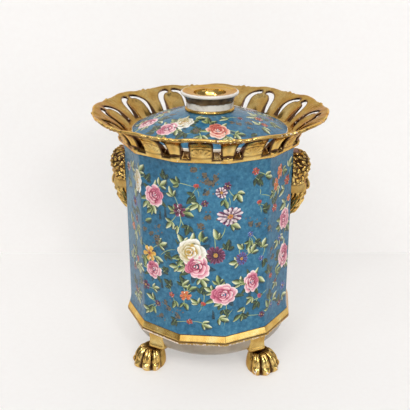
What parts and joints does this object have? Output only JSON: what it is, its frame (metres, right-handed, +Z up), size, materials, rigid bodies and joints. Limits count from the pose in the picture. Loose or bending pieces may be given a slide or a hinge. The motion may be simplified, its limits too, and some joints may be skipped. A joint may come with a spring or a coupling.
{
  "type": "potpourri vase",
  "caption": "Twelve-sided porcelain potpourri vase on lion paws, with a pierced flaring gallery, mask handles and a domed lift-off lid with a trumpet knob",
  "frame": {"origin": "on the floor plane, on the vertical axis of the vase", "axes": "+Z up along the vase's axis; -Y is the front; the masks are at -X (left) and +X (right)"},
  "size_m": [0.1858, 0.1858, 0.2207],
  "materials": {
    "blue_glaze": "glossy turquoise-blue enamel ground with painted flowers",
    "gilding": "fired and burnished gold on porcelain",
    "white_glaze": "clear-glazed white porcelain"
  },
  "bodies": {
    "vase": {"base_plinth": "white_glaze", "body_wall": "blue_glaze", "gallery": "gilding", "mask_left": "gilding", "mask_right": "gilding", "paw_front_left": "gilding", "paw_front_right": "gilding", "paw_rear_left": "gilding", "paw_rear_right": "gilding"},
    "lid": {"lid_dome": "blue_glaze", "lid_knob": "white_glaze"}
  },
  "joints": [
    {"name": "lid_lift", "type": "slide", "parent": "vase", "child": "lid", "axis": [0, 0, 1], "range_m": [0, 0.08]}
  ]
}
